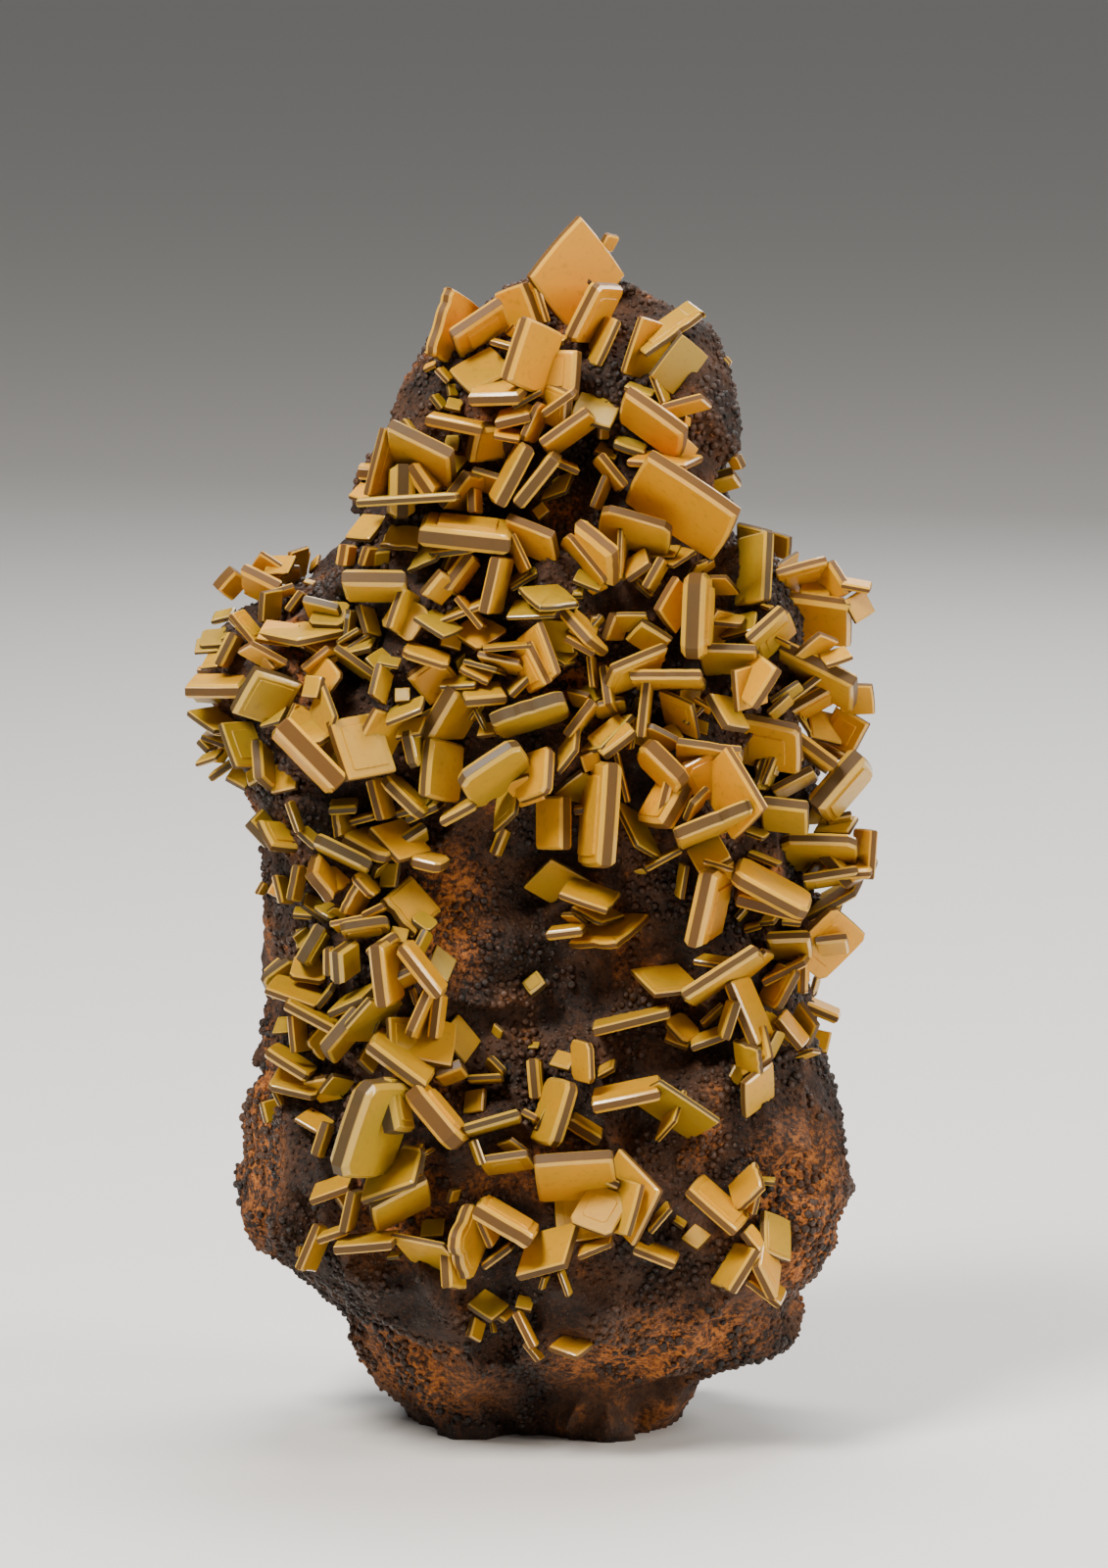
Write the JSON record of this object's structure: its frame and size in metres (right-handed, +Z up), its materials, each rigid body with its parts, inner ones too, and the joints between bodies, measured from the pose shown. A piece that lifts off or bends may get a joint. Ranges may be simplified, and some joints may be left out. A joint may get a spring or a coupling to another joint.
{
  "type": "wulfenite specimen",
  "caption": "Upright mineral specimen: square orange-yellow plates of wulfenite with striped edges, grown in clusters over a dark gossan matrix with a flat foot",
  "frame": {"origin": "middle of the flat foot that the rock stands on", "axes": "+Z up along the specimen's length, crystals' side towards -Y, +X to the right as seen from the front"},
  "size_m": [0.078, 0.0639, 0.1392],
  "materials": {
    "gossan": "dark brown to black granular ironstone with rusty patches, dull, stands in for stone",
    "wulfenite": "mustard to orange waxy crystal with brown striped edges and pale glossy rims, stands in for mineral"
  },
  "bodies": {
    "root": {"bare_patch_crystals_1": "wulfenite", "bare_patch_crystals_2": "wulfenite", "bare_patch_crystals_3": "wulfenite", "bare_patch_crystals_4": "wulfenite", "crown_crystals_1": "wulfenite", "crown_crystals_2": "wulfenite", "crown_crystals_3": "wulfenite", "crown_crystals_4": "wulfenite", "crown_crystals_5": "wulfenite", "crown_crystals_6": "wulfenite", "crown_crystals_7": "wulfenite", "crown_crystals_8": "wulfenite", "crown_right_crystals_1": "wulfenite", "left_column_crystals_1": "wulfenite", "left_column_crystals_2": "wulfenite", "left_column_crystals_3": "wulfenite", "left_column_crystals_4": "wulfenite", "left_column_crystals_5": "wulfenite", "left_column_crystals_6": "wulfenite", "left_lobe_crystals_1": "wulfenite", "left_lobe_crystals_2": "wulfenite", "left_lobe_crystals_3": "wulfenite", "left_lobe_crystals_4": "wulfenite", "left_lobe_crystals_5": "wulfenite", "left_lobe_crystals_6": "wulfenite", "lower_left_fan_crystals_1": "wulfenite", "lower_left_fan_crystals_2": "wulfenite", "lower_middle_crystals_1": "wulfenite", "lower_middle_crystals_2": "wulfenite", "lower_middle_crystals_3": "wulfenite", "lower_middle_crystals_4": "wulfenite", "lower_right_crystals_1": "wulfenite", "lower_right_crystals_2": "wulfenite", "matrix": "gossan", "middle_crystals_1": "wulfenite", "middle_crystals_2": "wulfenite", "middle_crystals_3": "wulfenite", "middle_crystals_4": "wulfenite", "neck_left_crystals_1": "wulfenite", "neck_left_crystals_2": "wulfenite", "neck_left_crystals_3": "wulfenite", "neck_left_crystals_4": "wulfenite", "neck_left_crystals_5": "wulfenite", "neck_left_crystals_6": "wulfenite", "neck_right_crystals_1": "wulfenite", "neck_right_crystals_2": "wulfenite", "neck_right_crystals_3": "wulfenite", "neck_right_crystals_4": "wulfenite", "neck_right_crystals_5": "wulfenite", "right_column_crystals_1": "wulfenite", "right_column_crystals_2": "wulfenite", "right_column_crystals_3": "wulfenite", "right_shoulder_crystals_1": "wulfenite", "right_shoulder_crystals_2": "wulfenite", "right_shoulder_crystals_3": "wulfenite", "right_shoulder_crystals_4": "wulfenite", "right_shoulder_crystals_5": "wulfenite"}
  },
  "joints": []
}
